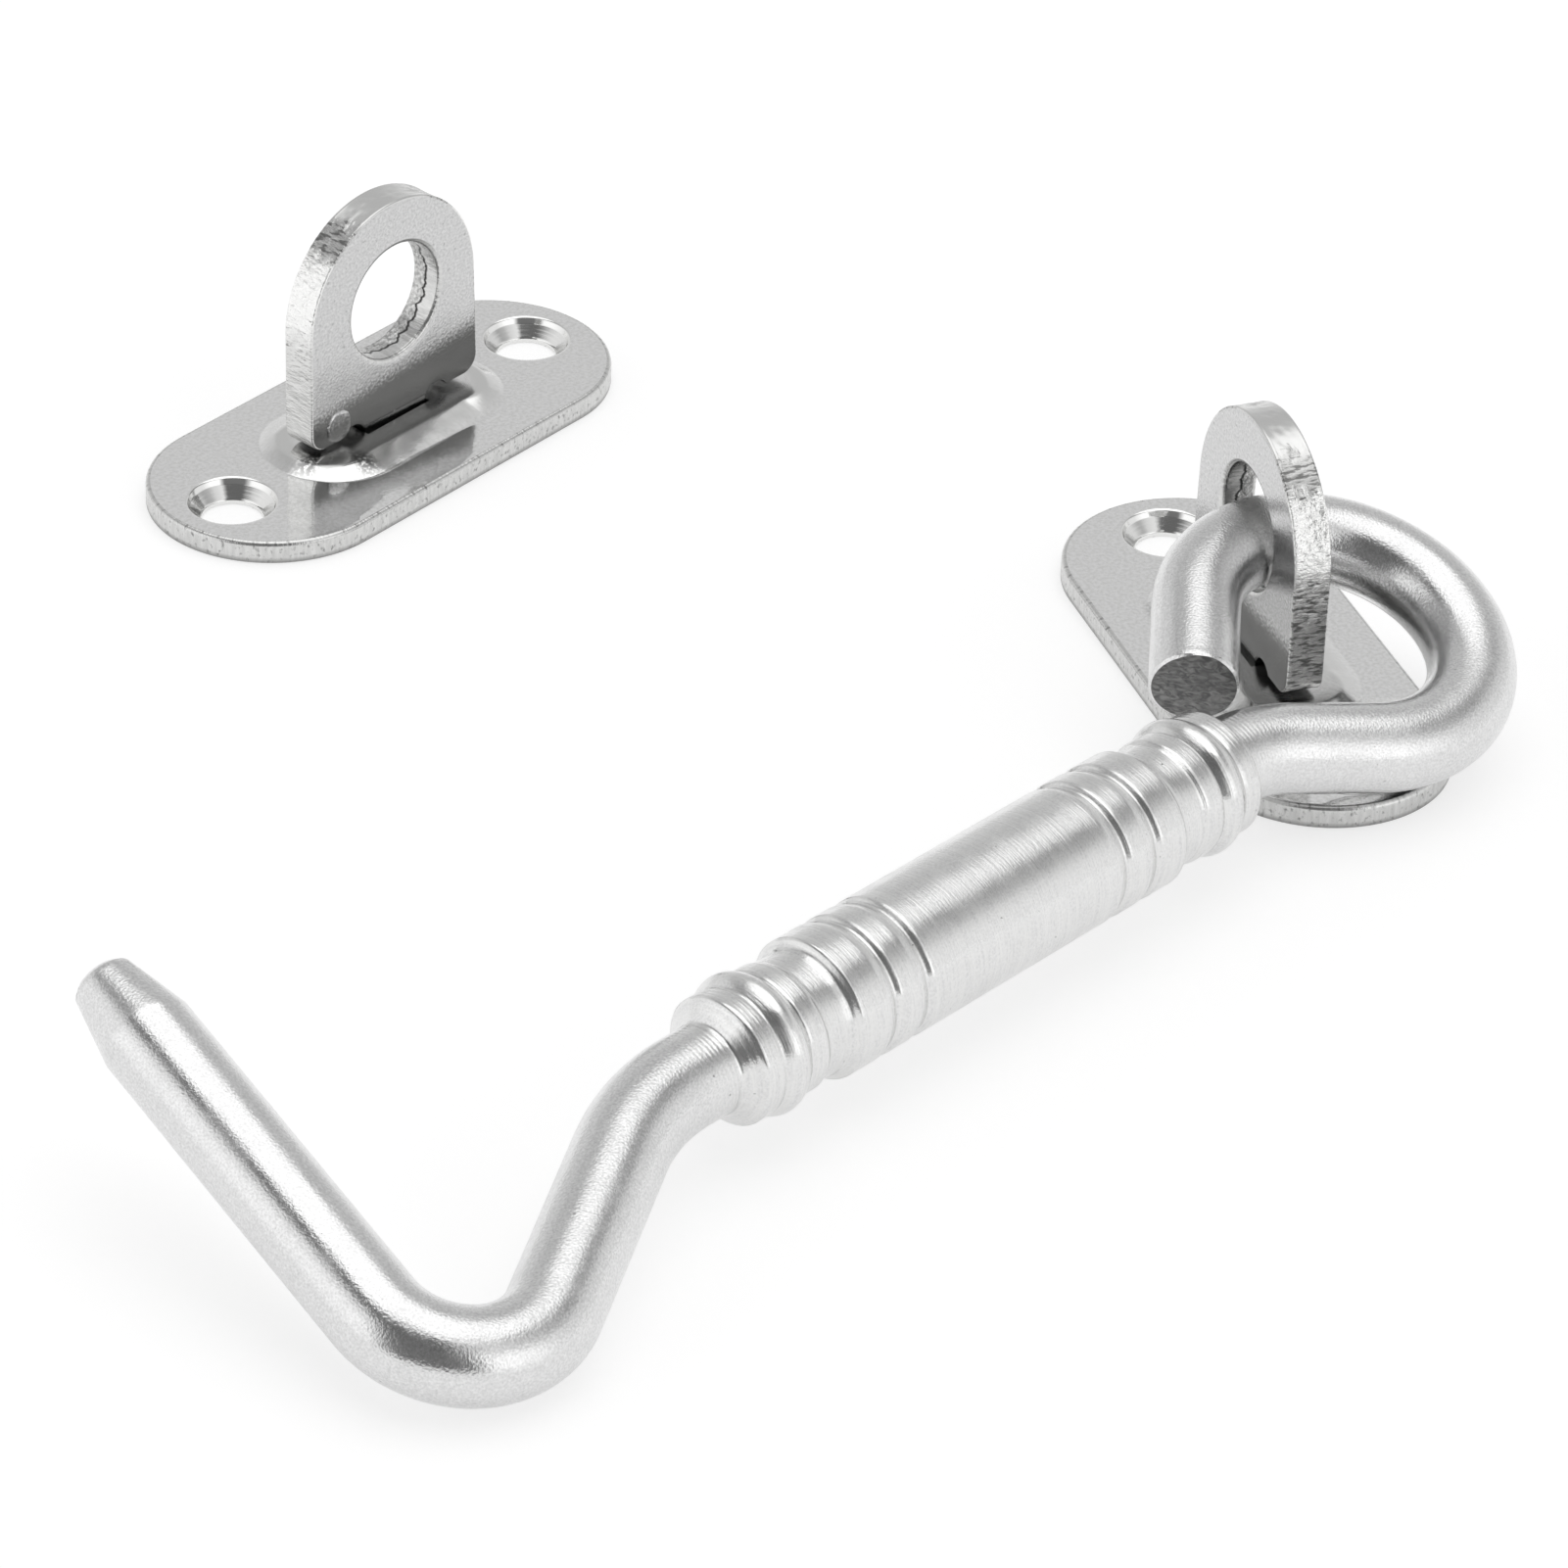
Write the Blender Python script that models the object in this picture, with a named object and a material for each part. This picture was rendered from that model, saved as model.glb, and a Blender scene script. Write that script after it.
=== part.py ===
"""Hook and eye latch: a turned hook hanging in one eye plate, and a matching keeper eye plate.

Metres, +Z up. The two plates stand on z = 0, and the hook lies over the ground with its crook on it.
"""
import math

import bmesh
import bpy
from mathutils import Euler, Matrix, Vector

MM = 0.001

# Eye plate: a blanked obround with an embossed boss that carries the eye
plate_width = 23.6 * MM
plate_thickness = 2.15 * MM
plate_edge_round = 0.45 * MM
plate_back_round = 0.1 * MM
boss_width = 14.4 * MM
boss_height = 1.05 * MM
boss_wall = 1.8 * MM
boss_foot_round = 0.5 * MM
pocket_inset = 1.6 * MM
pocket_slope = 1.3 * MM

# Countersunk screw holes, one at each end of a plate
screw_spacing = 41.6 * MM
screw_end_margin = 6.4 * MM
screw_boss_margin = 2.75 * MM
screw_bore = 5.8 * MM
countersink_dia = 8.3 * MM
countersink_round = 0.2 * MM
screw_land = 0.45 * MM
cutter_overrun = 1.0 * MM
plate_length = screw_spacing + 2.0 * screw_end_margin
boss_length = screw_spacing - countersink_dia - 2.0 * screw_boss_margin

# Eye: a thick blanked lug, its tongue riveted through the boss
eye_width = 22.0 * MM
eye_foot_width = 22.4 * MM
eye_thickness = 3.5 * MM
eye_bore = 12.0 * MM
eye_bore_to_foot = 11.55 * MM
eye_foot_corner = 1.8 * MM
eye_edge_break = 0.2 * MM
tongue_width = 8.4 * MM
relief_radius = 1.6 * MM
relief_width = 2.8 * MM
rivet_spread = 0.8 * MM
rivet_head = 0.6 * MM
rivet_recess = 0.35 * MM
seat_gap = 0.3 * MM

# Hook: turned and bent from one bar
rod_dia = 8.0 * MM
barrel_dia = 12.7 * MM
neck_dia = 11.1 * MM
saddle_dia = 11.6 * MM
collar_dia = 11.2 * MM
barrel_end = 30.3 * MM
barrel_end_cone = 1.4 * MM
groove_places = (12.3 * MM, 16.1 * MM)
groove_width = 1.7 * MM
groove_depth = 0.4 * MM
groove_low_share = 0.72
ring_end = 19.9 * MM
ring_step = 0.6 * MM
neck_end = 23.3 * MM
saddle_step = 0.4 * MM
bead_start = 25.5 * MM
bead_end = 28.5 * MM

# Runs and bends of the rod, from the barrel outwards
crook_lead = 2.75 * MM
crook_offset_radius = 19.8 * MM
crook_offset_turn = 29.2
crook_run = 17.8 * MM
crook_bend_radius = 8.1 * MM
crook_bend_turn = 124.9
tip_run = 37.1 * MM
tip_taper = 6.4 * MM
tip_dia = 5.4 * MM
tip_edge = 0.4 * MM
loop_lead = 0.45 * MM
loop_offset_radius = 13.2 * MM
loop_offset_turn = 30.5
loop_run = 8.3 * MM
loop_radius = 12.8 * MM
loop_turn = 252.5
loop_tail = 9.9 * MM
cut_edge = 0.25 * MM

# Where the pieces lie: the origin is a point of the hook plate's underside, near its front end
datum_from_centre = 15.2 * MM
hook_plate_angle = -69.2
keeper_offset = Vector((-81.7 * MM, 35.0 * MM, 0.0))
keeper_angle = 52.0
keeper_eye_turn = -2.0
barrel_heading = 47.5
hook_roll = 18.0
loop_shift = 1.8 * MM
loop_lean = -55.0

# Facets
plate_steps = 16
fillet_steps = 3
bore_steps = 32
rod_sides = 24
bend_step = 9.0

STAINLESS = (0.60, 0.60, 0.59, 1.0)


def clear_scene():
    """Empties the file that the script is run from."""
    for old in list(bpy.data.objects):
        bpy.data.objects.remove(old, do_unlink=True)


def make_material(name, roughness):
    """A stainless steel finish."""
    material = bpy.data.materials.new(name)
    material.use_nodes = True
    shader = material.node_tree.nodes["Principled BSDF"]
    shader.inputs["Base Color"].default_value = STAINLESS
    shader.inputs["Metallic"].default_value = 1.0
    shader.inputs["Roughness"].default_value = roughness
    return material


def add_object(name, mesh, material, parent):
    """Links a mesh under its carrier, in the carrier's frame."""
    if material is not None:
        mesh.materials.append(material)
    made = bpy.data.objects.new(name, mesh)
    bpy.context.collection.objects.link(made)
    made.parent = parent
    return made


def add_empty(name, location, turn=0.0):
    """A carrier that places the pieces fixed to it."""
    carrier = bpy.data.objects.new(name, None)
    carrier.location = location
    carrier.rotation_euler = (0.0, 0.0, math.radians(turn))
    bpy.context.collection.objects.link(carrier)
    return carrier


def mesh_from(bm, name):
    """Closes the bmesh into smooth-shaded mesh data with sharp edges kept."""
    bmesh.ops.recalc_face_normals(bm, faces=bm.faces)
    mesh = bpy.data.meshes.new(name)
    bm.to_mesh(mesh)
    bm.free()
    mesh.shade_smooth()
    mesh.set_sharp_from_angle(angle=math.radians(35.0))
    return mesh


def ring_of_verts(bm, points):
    """One closed ring of vertices."""
    return [bm.verts.new(point) for point in points]


def bridge(bm, lower, upper):
    """Joins two rings of equal count with a band of quads."""
    count = len(lower)
    for i in range(count):
        j = (i + 1) % count
        bm.faces.new((lower[i], lower[j], upper[j], upper[i]))


# Eye plates

def obround(half_length, half_width, height, squareness=0.0):
    """Points of an obround, two round ends joined by straight sides. Squareness 1 squares its ends."""
    reach = half_length - half_width
    points = []
    for side in (1.0, -1.0):
        for step in range(plate_steps + 1):
            angle = math.pi * (step / plate_steps - 0.5)
            along, across = math.cos(angle), math.sin(angle)
            swell = 1.0 + squareness * (1.0 / max(along, abs(across)) - 1.0)
            x = side * (reach + half_width * swell * along)
            y = side * half_width * swell * across
            points.append(Vector((x, y, height)))
    return points


def quarter_round(radius, steps):
    """Inward and upward shares of a quarter circle that rolls a wall over into a flat."""
    shares = []
    for step in range(steps + 1):
        angle = 0.5 * math.pi * step / steps
        shares.append((radius * (1.0 - math.cos(angle)), radius * math.sin(angle)))
    return shares


def plate_rings():
    """Sizes of the obrounds that skin the plate, from its outer wall over the boss and back below."""
    half_length, half_width = plate_length / 2.0, plate_width / 2.0
    boss_half, boss_side = boss_length / 2.0, boss_width / 2.0
    slot_half = tongue_width / 2.0 + seat_gap
    slot_side = eye_thickness / 2.0 + seat_gap
    rings = [(half_length, half_width, plate_back_round)]
    wall_top = plate_thickness - plate_edge_round
    for inset, rise in quarter_round(plate_edge_round, fillet_steps):
        rings.append((half_length - inset, half_width - inset, wall_top + rise))
    rings.append((boss_half + boss_foot_round, boss_side + boss_foot_round, plate_thickness))
    boss_steps = 7
    for step in range(1, boss_steps + 1):
        share = step / boss_steps
        rise = boss_height * math.sin(0.5 * math.pi * share)
        ring_half = boss_half + (slot_half - boss_half) * share
        ring_side = boss_side + (slot_side - boss_side) * share
        rings.append((ring_half, ring_side, plate_thickness + rise, share ** 3))
    ceiling = plate_thickness + boss_height - boss_wall
    rings.append((slot_half, slot_side, ceiling, 1.0))
    pocket_half, pocket_side = boss_half - pocket_inset, boss_side - pocket_inset
    rings.append((pocket_half - pocket_slope, pocket_side - pocket_slope, ceiling))
    rings.append((pocket_half, pocket_side, 0.0))
    rings.append((half_length - plate_back_round, half_width - plate_back_round, 0.0))
    return rings


def plate_mesh():
    """The blanked and embossed plate, closed round its slot."""
    bm = bmesh.new()
    rings = [ring_of_verts(bm, obround(*sizes)) for sizes in plate_rings()]
    for index, ring in enumerate(rings):
        bridge(bm, ring, rings[(index + 1) % len(rings)])
    return mesh_from(bm, "eye_plate")


def screw_cutter_mesh():
    """A turned cutter for both screw holes: bore, countersink and its rolled rim."""
    bore, rim = screw_bore / 2.0, countersink_dia / 2.0
    profile = [
        (bore, -cutter_overrun),
        (bore, screw_land),
        (rim, plate_thickness - countersink_round),
        (rim + countersink_round, plate_thickness),
        (rim + countersink_round + cutter_overrun, plate_thickness + cutter_overrun),
    ]
    bm = bmesh.new()
    for side in (-1.0, 1.0):
        centre = Vector((side * screw_spacing / 2.0, 0.0, 0.0))
        rings = []
        for radius, height in profile:
            points = []
            for step in range(bore_steps):
                angle = 2.0 * math.pi * step / bore_steps
                x, y = radius * math.cos(angle), radius * math.sin(angle)
                points.append(centre + Vector((x, y, height)))
            rings.append(ring_of_verts(bm, points))
        for lower, upper in zip(rings, rings[1:]):
            bridge(bm, lower, upper)
        bm.faces.new(rings[0])
        bm.faces.new(rings[-1])
    return mesh_from(bm, "screw_cutter")


def add_eye_plate(name, carrier, material, shared, cutter_mesh):
    """One plate with its two screw holes cut."""
    plate = add_object(name, shared, None, carrier)
    if not shared.materials:
        shared.materials.append(material)
    cutter = add_object(name + "_screw_cutter", cutter_mesh, None, carrier)
    cutter.hide_render = True
    cutter.display_type = "WIRE"
    cut = plate.modifiers.new("screw_holes", "BOOLEAN")
    cut.operation = "DIFFERENCE"
    cut.solver = "EXACT"
    cut.object = cutter
    return plate


# Eyes

def arc(centre, radius, start, stop, steps):
    """Points on an arc in the eye's plane, angles in degrees, from start to stop."""
    points = []
    for step in range(steps + 1):
        angle = math.radians(start + (stop - start) * step / steps)
        points.append((centre[0] + radius * math.cos(angle), centre[1] + radius * math.sin(angle)))
    return points


def eye_outline():
    """The eye's right half from the crown down to the rivet head, then mirrored. Heights from the bore."""
    crown = eye_width / 2.0
    foot = eye_foot_width / 2.0
    foot_level = -eye_bore_to_foot
    tongue = tongue_width / 2.0
    head = tongue + rivet_spread
    head_bottom = rivet_recess - eye_height()
    head_top = head_bottom + rivet_head
    relief_middle = tongue + relief_width / 2.0
    relief_drop = math.sqrt(relief_radius ** 2 - (relief_width / 2.0) ** 2)
    relief_angle = math.degrees(math.asin(relief_drop / relief_radius))
    half = arc((0.0, 0.0), crown, 90.0, 0.0, 14)
    corner = (foot - eye_foot_corner, foot_level + eye_foot_corner)
    half += arc(corner, eye_foot_corner, 0.0, -90.0, 4)
    relief = (relief_middle, foot_level - relief_drop)
    half += arc(relief, relief_radius, relief_angle, 180.0 - relief_angle, 6)
    half += [(tongue, head_top), (head, head_top), (head, head_bottom)]
    mirrored = [(-x, z) for x, z in reversed(half[1:])]
    return half + mirrored


def eye_height():
    """Height of the eye's bore above the ground: its foot stands on the crest of the boss."""
    return plate_thickness + boss_height + seat_gap + eye_bore_to_foot


def eye_mesh():
    """The blanked eye: outline and bore filled, then extruded to thickness."""
    bm = bmesh.new()
    back = -eye_thickness / 2.0
    loops = [eye_outline(), arc((0.0, 0.0), eye_bore / 2.0, 0.0, 360.0, bore_steps)[:-1]]
    edges = []
    for loop in loops:
        verts = [bm.verts.new((x, back, z + eye_height())) for x, z in loop]
        for first, second in zip(verts, verts[1:] + verts[:1]):
            edges.append(bm.edges.new((first, second)))
    filled = bmesh.ops.triangle_fill(bm, use_beauty=True, use_dissolve=False, edges=edges)
    faces = [item for item in filled["geom"] if isinstance(item, bmesh.types.BMFace)]
    pushed = bmesh.ops.extrude_face_region(bm, geom=faces)
    moved = [item for item in pushed["geom"] if isinstance(item, bmesh.types.BMVert)]
    bmesh.ops.translate(bm, verts=moved, vec=(0.0, eye_thickness, 0.0))
    return mesh_from(bm, "eye")


def add_eye(name, carrier, material, shared, turn):
    """One eye with its sharp blanked edges broken. The keeper's is riveted slightly out of line."""
    eye = add_object(name, shared, None, carrier)
    eye.rotation_euler.z = math.radians(turn)
    if not shared.materials:
        shared.materials.append(material)
    edge_break = eye.modifiers.new("edge_break", "BEVEL")
    edge_break.width = eye_edge_break
    edge_break.segments = 1
    edge_break.limit_method = "ANGLE"
    edge_break.angle_limit = math.radians(60.0)
    return eye


# Hook

def barrel_profile():
    """Places and radii down one half of the barrel, from its middle to the rod."""
    top, low = barrel_dia / 2.0, barrel_dia / 2.0 - groove_depth
    profile = []
    for place in groove_places:
        start = place - groove_width / 2.0
        profile += [
            (start, top),
            (start + groove_width * groove_low_share, low),
            (start + groove_width, top),
        ]
    profile += [(ring_end, top), (ring_end + ring_step, neck_dia / 2.0), (neck_end, neck_dia / 2.0)]
    profile += [(neck_end + saddle_step, saddle_dia / 2.0), (bead_start, saddle_dia / 2.0)]
    bead_steps = 6
    for step in range(1, bead_steps):
        share = step / bead_steps
        rise = (barrel_dia - collar_dia) / 2.0 * math.sin(math.pi * share)
        profile.append((bead_start + (bead_end - bead_start) * share, collar_dia / 2.0 + rise))
    profile += [(bead_end, collar_dia / 2.0), (barrel_end, collar_dia / 2.0)]
    profile.append((barrel_end + barrel_end_cone, rod_dia / 2.0))
    return profile


class Pen:
    """Draws the rod's centre line in the hook's plane, one run or bend at a time."""

    def __init__(self, place, heading):
        self.place = Vector(place)
        self.heading = heading
        self.stations = []

    def mark(self, radius):
        """Adds a ring of the rod here."""
        self.stations.append((self.place.copy(), self.heading, radius))

    def run(self, length, radius, end_radius=None):
        """A straight stretch."""
        self.place += length * Vector((math.cos(self.heading), math.sin(self.heading)))
        self.mark(radius if end_radius is None else end_radius)

    def bend(self, bend_radius, turn, radius):
        """An arc, positive to the left."""
        side = math.copysign(1.0, turn)
        steps = max(2, round(abs(turn) / bend_step))
        centre = self.place + side * bend_radius * Vector((-math.sin(self.heading), math.cos(self.heading)))
        spoke = self.place - centre
        start = self.heading
        for step in range(1, steps + 1):
            angle = math.radians(turn) * step / steps
            self.place = centre + Matrix.Rotation(angle, 2) @ spoke
            self.heading = start + angle
            self.mark(radius)


def crook_stations():
    """The rod from the barrel's left end to the tip."""
    rod = rod_dia / 2.0
    pen = Pen((-(barrel_end + barrel_end_cone), 0.0), math.pi)
    pen.run(crook_lead, rod)
    pen.bend(crook_offset_radius, crook_offset_turn, rod)
    pen.run(crook_run, rod)
    pen.bend(crook_bend_radius, -crook_bend_turn, rod)
    pen.run(tip_run - tip_taper, rod)
    pen.run(tip_taper - tip_edge, tip_dia / 2.0)
    pen.run(tip_edge, tip_dia / 2.0 - tip_edge)
    return pen.stations


def loop_stations():
    """The rod from the barrel's right end round the loop to its cut end."""
    rod = rod_dia / 2.0
    pen = Pen((barrel_end + barrel_end_cone, 0.0), 0.0)
    pen.run(loop_lead, rod)
    pen.bend(loop_offset_radius, -loop_offset_turn, rod)
    pen.run(loop_run, rod)
    pen.bend(loop_radius, loop_turn, rod)
    pen.run(loop_tail - cut_edge, rod)
    pen.run(cut_edge, rod - cut_edge)
    return pen.stations


def hook_stations():
    """All rings of the hook from tip to cut end: place in the hook's plane, heading and radius."""
    stations = []
    for place, heading, radius in reversed(crook_stations()):
        stations.append((place, heading + math.pi, radius))
    half = barrel_profile()
    # The grooving tool leans the same way along the whole barrel, so the left half is its own list
    lean = groove_width * (2.0 * groove_low_share - 1.0)
    left = []
    for place, radius in half:
        in_groove = radius < barrel_dia / 2.0 and place < ring_end
        left.append((-place + (lean if in_groove else 0.0), radius))
    for place, radius in sorted(left):
        stations.append((Vector((place, 0.0)), 0.0, radius))
    for place, radius in half:
        stations.append((Vector((place, 0.0)), 0.0, radius))
    return stations + loop_stations()


def hook_mesh():
    """The bar as rings along its centre line, closed at both ends. The barrel's middle is the origin."""
    bm = bmesh.new()
    rings = []
    for place, heading, radius in hook_stations():
        side = Vector((-math.sin(heading), math.cos(heading), 0.0))
        middle = Vector((place.x, place.y, 0.0))
        points = []
        for step in range(rod_sides):
            angle = 2.0 * math.pi * step / rod_sides
            spoke = math.cos(angle) * side + math.sin(angle) * Vector((0.0, 0.0, 1.0))
            points.append(middle + radius * spoke)
        rings.append(ring_of_verts(bm, points))
    for first, second in zip(rings, rings[1:]):
        bridge(bm, first, second)
    bm.faces.new(rings[0])
    bm.faces.new(rings[-1])
    return mesh_from(bm, "hook")


def loop_crossing():
    """The point of the loop that lies by the eye: where the loop runs along the eye's bore."""
    backwards = math.radians(hook_plate_angle + 90.0 - barrel_heading) + math.pi
    pen = Pen((barrel_end + barrel_end_cone, 0.0), 0.0)
    pen.run(loop_lead, rod_dia / 2.0)
    pen.bend(loop_offset_radius, -loop_offset_turn, rod_dia / 2.0)
    pen.run(loop_run, rod_dia / 2.0)
    centre = pen.place + loop_radius * Vector((-math.sin(pen.heading), math.cos(pen.heading)))
    return centre + loop_radius * Vector((math.sin(backwards), -math.cos(backwards)))


def hook_pose(bore_centre):
    """Location and turn of the hook: its loop leans on the bore's wall and its crook rests on the ground."""
    plate_turn = math.radians(hook_plate_angle)
    along = Vector((math.cos(plate_turn), math.sin(plate_turn), 0.0))
    across = Vector((-along.y, along.x, 0.0))
    # The loop bends away from the bore's axis before it leaves the eye, and that takes up part of the play
    reach = loop_shift + eye_thickness / 2.0
    drift = loop_radius - math.sqrt(loop_radius ** 2 - reach ** 2)
    room = (eye_bore - rod_dia) / 2.0 - seat_gap
    lean = math.radians(loop_lean)
    play = math.sqrt(room ** 2 - (drift * math.sin(lean)) ** 2) - drift * math.cos(lean)
    contact = bore_centre + loop_shift * across
    contact += play * (math.cos(lean) * along + math.sin(lean) * Vector((0.0, 0.0, 1.0)))
    crossing = loop_crossing()
    held = Vector((crossing.x, crossing.y, 0.0))
    crook = crook_stations()
    pitch = 0.0
    for _ in range(12):
        turn = Euler((math.radians(hook_roll), -pitch, math.radians(barrel_heading)), "XYZ")
        location = contact - turn.to_matrix() @ held
        lowest = min(
            (location + turn.to_matrix() @ Vector((place.x, place.y, 0.0))).z - radius
            for place, heading, radius in crook
        )
        pitch += lowest / (held.x - crook[-1][0].x)
    return location, turn


def build():
    """Makes every piece and its carrier."""
    clear_scene()
    polished = make_material("polished_stainless", 0.12)
    blanked = make_material("blanked_stainless", 0.30)
    turned = make_material("turned_stainless", 0.22)
    plate_turn = math.radians(hook_plate_angle)
    plate_centre = -datum_from_centre * Vector((math.cos(plate_turn), math.sin(plate_turn), 0.0))
    shared_plate, shared_cutter, shared_eye = plate_mesh(), screw_cutter_mesh(), eye_mesh()
    for side, place, angle, eye_turn in (
        ("hook", plate_centre, hook_plate_angle, 0.0),
        ("keeper", plate_centre + keeper_offset, keeper_angle, keeper_eye_turn),
    ):
        carrier = add_empty(side + "_plate_place", place, angle)
        add_eye_plate(side + "_plate", carrier, polished, shared_plate, shared_cutter)
        add_eye(side + "_eye", carrier, blanked, shared_eye, eye_turn)
    bore_centre = plate_centre + Vector((0.0, 0.0, eye_height()))
    pivot = add_empty("hook_pivot", bore_centre)
    location, turn = hook_pose(bore_centre)
    hook = add_object("hook", hook_mesh(), turned, pivot)
    hook.location = location - bore_centre
    hook.rotation_euler = turn


build()
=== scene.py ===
import math

import bmesh
import bpy
import numpy as np
from mathutils import Matrix, Vector


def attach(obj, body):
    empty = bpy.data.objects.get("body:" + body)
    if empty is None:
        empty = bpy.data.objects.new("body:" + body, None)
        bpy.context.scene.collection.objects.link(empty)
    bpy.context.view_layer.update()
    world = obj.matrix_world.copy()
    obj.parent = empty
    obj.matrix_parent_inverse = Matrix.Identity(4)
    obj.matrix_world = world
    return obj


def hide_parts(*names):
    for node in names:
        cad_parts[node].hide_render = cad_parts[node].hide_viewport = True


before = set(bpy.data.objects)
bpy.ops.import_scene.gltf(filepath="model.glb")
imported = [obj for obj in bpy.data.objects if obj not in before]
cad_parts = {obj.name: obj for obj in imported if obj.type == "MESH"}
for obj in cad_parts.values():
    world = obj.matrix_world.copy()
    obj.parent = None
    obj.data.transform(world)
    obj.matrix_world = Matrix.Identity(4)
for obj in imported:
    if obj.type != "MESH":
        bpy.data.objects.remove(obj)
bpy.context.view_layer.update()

# Sizes below are millimetres and degrees. Surfaces are computed in millimetres and scaled once.
MM = 0.001
# Points closer than this are welded, and edges sharper than this angle stay sharp
weld_distance, sharp_angle = 0.001 * MM, 40.0

# Plate
half_length, half_width, thickness = 27.2, 11.8, 2.15
edge_round, back_round = 0.45, 0.1
screw_place, bore_radius, cone_radius, sink_radius, land = 20.8, 2.85, 4.0, 4.35, 0.45
sink_roll, sink_drop, sink_wall = 0.45, 0.25, 0.3
boss_reach, boss_side, boss_height, boss_slope = 6.7, 7.2, 0.85, 3.4
boss_skirt, boss_foot_round, boss_shoulder_round = 0.15, 0.1, 0.25
boss_end_shortening, boss_end_turn = 0.42, 0.6
slot_reach, slot_side = 2.2, 2.15
pocket_side, pocket_slope, pocket_ceiling = 5.6, 1.3, 1.4
cut_line = half_length - half_width
# Points round an end, along a side and across the plate
end_steps, side_steps, chord_steps = 97, 78, 57

# Eye
crown, foot, foot_level, foot_corner = 11.0, 11.2, -11.55, 1.8
eye_half, hole, hole_roll, edge_break = 1.75, 5.85, 0.4, 0.2
edge_sink, edge_grain, edge_tears = 0.06, 0.03, 0.05
tongue, tongue_overlap, tongue_inset, tongue_squareness = 4.2, 0.9, 0.05, 0.93
relief_radius, relief_half = 1.6, 1.4
head_half, head_bottom, head_top, head_overlap = 5.0, 0.35, 0.95, 0.25
mark_place, mark_radius, mark_shift = (-7.6, -9.85), 1.55, 1.4
# The ring mark from its middle outwards and back: share of its radius, and height over the face
mark_profile = ((0.0, -0.2), (1.06, -0.2), (1.06, 0.0), (1.0, 0.1), (0.93, 0.15), (0.85, 0.1), (0.75, 0.03),
                (0.0, 0.03))
bore_height = 15.05

# Hook
rod, barrel, neck, saddle, collar = 4.0, 6.35, 5.52, 5.8, 5.65
barrel_end, barrel_cone = 30.3, 1.4
# Distance from the barrel's middle, and radius there: barrel, step, neck, saddle, bead, collar and bar
barrel_profile = (
    (0.0, barrel), (19.9, barrel), (20.35, neck + 0.22), (20.9, neck + 0.04), (21.4, neck), (23.2, neck),
    (23.65, saddle), (25.4, saddle), (25.5, collar - 0.08), (28.5, collar - 0.05), (28.6, collar + 0.08),
    (barrel_end, collar + 0.12), (barrel_end + barrel_cone, rod), (60.0, rod),
)
bead_start, bead_width, bead_excess, bead_lean = 25.45, 3.05, 0.07, 0.92
profile_reach, profile_step, tool_radius, tool_steps = 40.0, 0.02, 0.07, 20
groove_starts, groove_width, groove_depth, groove_low = (11.45, 15.25), 1.7, 0.4, 0.72
tip_taper, tip_radius, tip_edge, cut_edge = 6.4, 2.7, 0.4, 0.25
burr_angle, burr_height, burr_spread, burr_fade = 1.6, 0.3, 0.7, 0.35
# Rings lie close together within the fine reach from the barrel's middle
fine_reach, fine_step, coarse_step, bar_steps = 33.0, 0.16, 0.5, 97
# Distance from one ring to the next: the feed lines by the collars, and the rings on the flat tip
feed_pitch, facing_pitch = 0.45, 0.35
crook_segments = ((34.45, 0.0), (19.8, 29.2), (17.8, 0.0), (8.1, -124.9), (37.1, 0.0))
loop_segments = ((32.15, 0.0), (13.2, -30.5), (8.3, 0.0), (12.8, 252.5), (9.9, 0.0))

# Places
# Each plate's middle and angle, the eye's turn and lean on it, how far its hole lies off its crown's middle,
# and whether it has the ring mark
plate_places = {
    "hook": ((-5.3976, 14.2094), -69.2, 0.0, 0.0, (0.0, 0.0), False),
    "keeper": ((-87.0976, 49.2094), 52.0, -2.0, -1.3, (0.35, 0.35), True),
}
hook_place, hook_heading, hook_pitch, hook_roll = (-31.2408, -39.3454, 8.3403), 47.5, 0.5106, 18.0


def noise(points, size, seed):
    """Smooth random values from -1 to 1: a lattice of random values, one every size, blended between."""
    lattice = np.random.RandomState(seed).uniform(-1.0, 1.0, (32, 32, 32))
    place = np.asarray(points) / size
    cell = np.floor(place).astype(int)
    share = place - cell
    share = share * share * (3.0 - 2.0 * share)
    total = 0.0
    for corner in range(8):
        step = np.array([corner & 1, corner >> 1 & 1, corner >> 2 & 1])
        weight = np.where(step, share, 1.0 - share).prod(-1)
        x, y, z = np.moveaxis((cell + step) % 32, -1, 0)
        total = total + weight * lattice[x, y, z]
    return total


def turn(points, angle):
    """Points turned about Z by an angle in degrees."""
    c, s = math.cos(math.radians(angle)), math.sin(math.radians(angle))
    return points @ np.array([[c, s, 0.0], [-s, c, 0.0], [0.0, 0.0, 1.0]])


def between(first, last, shares):
    """Rows of points from one row to another, straight across."""
    shares = np.asarray(shares, float)[:, None, None]
    return first[None] * (1.0 - shares) + last[None] * shares


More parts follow.
